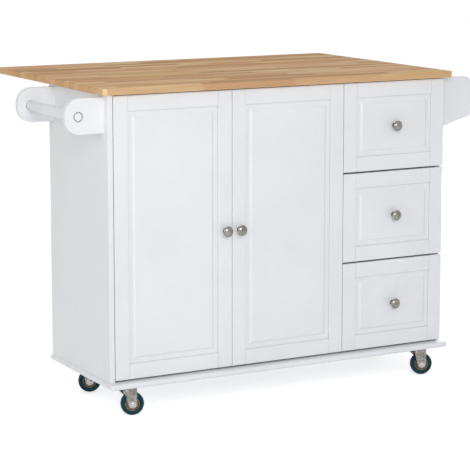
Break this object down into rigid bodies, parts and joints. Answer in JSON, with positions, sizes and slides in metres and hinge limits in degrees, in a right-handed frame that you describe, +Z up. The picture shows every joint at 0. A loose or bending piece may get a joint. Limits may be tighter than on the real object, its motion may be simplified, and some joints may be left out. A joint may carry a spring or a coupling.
{
  "type": "kitchen cart",
  "caption": "White kitchen cart on casters with a butcher-block top, rear drop leaf, framed doors and drawers, a towel rail and a side spice rack.",
  "frame": {"origin": "on the floor under the middle of the cart's outline, with the leaf raised", "axes": "+X to the cart's right seen from the doors, +Y from the doors to the drop leaf, +Z up"},
  "size_m": [1.316, 0.772, 0.92],
  "materials": {
    "white_paint": "satin white lacquer on board",
    "rubberwood": "clear satin lacquer on glued wood staves",
    "drawer_board": "matt white laminated board",
    "brushed_nickel": "brushed nickel plating",
    "zinc_steel": "zinc plated sheet steel",
    "wheel_tread": "dark teal polyurethane tread",
    "wheel_hub": "amber moulded hub",
    "brake_plastic": "black moulded plastic"
  },
  "bodies": {
    "cabinet": {"base_board": "white_paint", "left_side_panel": "white_paint", "right_side_panel": "white_paint", "partition_panel": "white_paint", "back_panel": "white_paint", "top_rails": "white_paint", "shelf": "white_paint", "shelf_pins": "zinc_steel", "worktop": "rubberwood", "door_hinge_arms": "zinc_steel", "cabinet_runners": "zinc_steel", "leaf_hinge_top_plates": "zinc_steel", "leaf_hinge_pins": "zinc_steel", "bracket_wall_arms": "zinc_steel", "towel_bracket_front": "white_paint", "towel_bracket_rear": "white_paint", "towel_rail": "white_paint", "spice_rack_front_end": "white_paint", "spice_rack_rear_end": "white_paint", "spice_rack_floor": "white_paint", "spice_rack_rail": "white_paint", "caster_plates": "zinc_steel", "screws": "zinc_steel"},
    "left_door_leaf": {"left_door": "white_paint", "left_door_knob": "brushed_nickel", "left_hinge_cups": "zinc_steel"},
    "right_door_leaf": {"right_door": "white_paint", "right_door_knob": "brushed_nickel", "right_hinge_cups": "zinc_steel"},
    "bottom_drawer": {"bottom_drawer_front": "white_paint", "bottom_drawer_knob": "brushed_nickel", "bottom_drawer_box": "drawer_board", "bottom_drawer_runners": "zinc_steel"},
    "middle_drawer": {"middle_drawer_front": "white_paint", "middle_drawer_knob": "brushed_nickel", "middle_drawer_box": "drawer_board", "middle_drawer_runners": "zinc_steel"},
    "top_drawer": {"top_drawer_front": "white_paint", "top_drawer_knob": "brushed_nickel", "top_drawer_box": "drawer_board", "top_drawer_runners": "zinc_steel"},
    "table_leaf": {"drop_leaf": "rubberwood", "leaf_hinge_leaf_plates": "zinc_steel", "bracket_leaf_arms": "zinc_steel"},
    "left_brace": {"left_bracket_brace": "zinc_steel"},
    "right_brace": {"right_bracket_brace": "zinc_steel"},
    "front_left_swivel": {"caster_front_left_fork": "zinc_steel"},
    "front_left_wheel": {"caster_front_left_hub": "wheel_hub", "caster_front_left_tyre": "wheel_tread"},
    "front_right_swivel": {"caster_front_right_fork": "zinc_steel"},
    "front_right_wheel": {"caster_front_right_hub": "wheel_hub", "caster_front_right_tyre": "wheel_tread"},
    "rear_left_swivel": {"caster_rear_left_fork": "zinc_steel"},
    "rear_left_wheel": {"caster_rear_left_hub": "wheel_hub", "caster_rear_left_tyre": "wheel_tread"},
    "rear_right_swivel": {"caster_rear_right_fork": "zinc_steel"},
    "rear_right_wheel": {"caster_rear_right_hub": "wheel_hub", "caster_rear_right_tyre": "wheel_tread"},
    "front_left_pedal": {"caster_front_left_brake": "brake_plastic"},
    "front_right_pedal": {"caster_front_right_brake": "brake_plastic"}
  },
  "joints": [
    {"name": "left_door_hinge", "type": "hinge", "parent": "cabinet", "child": "left_door_leaf", "pos_m": [-0.516, -0.35, 0.505], "axis": [0, 0, -1], "range_deg": [0, 90]},
    {"name": "right_door_hinge", "type": "hinge", "parent": "cabinet", "child": "right_door_leaf", "pos_m": [0.1862, -0.35, 0.505], "axis": [0, 0, 1], "range_deg": [0, 90]},
    {"name": "bottom_drawer_slide", "type": "slide", "parent": "cabinet", "child": "bottom_drawer", "axis": [0, -1, 0], "range_m": [0, 0.25]},
    {"name": "middle_drawer_slide", "type": "slide", "parent": "cabinet", "child": "middle_drawer", "axis": [0, -1, 0], "range_m": [0, 0.25]},
    {"name": "top_drawer_slide", "type": "slide", "parent": "cabinet", "child": "top_drawer", "axis": [0, -1, 0], "range_m": [0, 0.25]},
    {"name": "leaf_hinge", "type": "hinge", "parent": "cabinet", "child": "table_leaf", "pos_m": [0, 0.083, 0.8987], "axis": [-1, 0, 0], "range_deg": [0, 90]},
    {"name": "left_brace_hinge", "type": "hinge", "parent": "cabinet", "child": "left_brace", "pos_m": [-0.33, 0.053, 0.7887], "axis": [-1, 0, 0], "range_deg": [0, 122.2]},
    {"name": "right_brace_hinge", "type": "hinge", "parent": "cabinet", "child": "right_brace", "pos_m": [0.33, 0.053, 0.7887], "axis": [-1, 0, 0], "range_deg": [0, 122.2]},
    {"name": "front_left_swivel_turn", "type": "hinge", "parent": "cabinet", "child": "front_left_swivel", "pos_m": [-0.4825, -0.302, 0.084], "axis": [0, 0, 1], "continuous": true},
    {"name": "front_left_wheel_spin", "type": "hinge", "parent": "front_left_swivel", "child": "front_left_wheel", "pos_m": [-0.45713, -0.31123, 0.033], "axis": [0.342, 0.9397, 0], "continuous": true},
    {"name": "front_right_swivel_turn", "type": "hinge", "parent": "cabinet", "child": "front_right_swivel", "pos_m": [0.4825, -0.302, 0.084], "axis": [0, 0, 1], "continuous": true},
    {"name": "front_right_wheel_spin", "type": "hinge", "parent": "front_right_swivel", "child": "front_right_wheel", "pos_m": [0.50787, -0.31123, 0.033], "axis": [0.342, 0.9397, 0], "continuous": true},
    {"name": "rear_left_swivel_turn", "type": "hinge", "parent": "cabinet", "child": "rear_left_swivel", "pos_m": [-0.4825, -0.014, 0.084], "axis": [0, 0, 1], "continuous": true},
    {"name": "rear_left_wheel_spin", "type": "hinge", "parent": "rear_left_swivel", "child": "rear_left_wheel", "pos_m": [-0.45713, -0.02323, 0.033], "axis": [0.342, 0.9397, 0], "continuous": true},
    {"name": "rear_right_swivel_turn", "type": "hinge", "parent": "cabinet", "child": "rear_right_swivel", "pos_m": [0.4825, -0.014, 0.084], "axis": [0, 0, 1], "continuous": true},
    {"name": "rear_right_wheel_spin", "type": "hinge", "parent": "rear_right_swivel", "child": "rear_right_wheel", "pos_m": [0.50787, -0.02323, 0.033], "axis": [0.342, 0.9397, 0], "continuous": true},
    {"name": "front_left_brake_press", "type": "hinge", "parent": "front_left_swivel", "child": "front_left_pedal", "pos_m": [-0.4731, -0.30542, 0.0725], "axis": [-0.342, -0.9397, 0], "range_deg": [0, 12]},
    {"name": "front_right_brake_press", "type": "hinge", "parent": "front_right_swivel", "child": "front_right_pedal", "pos_m": [0.4919, -0.30542, 0.0725], "axis": [-0.342, -0.9397, 0], "range_deg": [0, 12]}
  ],
  "couplings": [
    {"joint": "left_brace_hinge", "follows": "leaf_hinge", "ratio": 1.3571},
    {"joint": "right_brace_hinge", "follows": "leaf_hinge", "ratio": 1.3571}
  ]
}
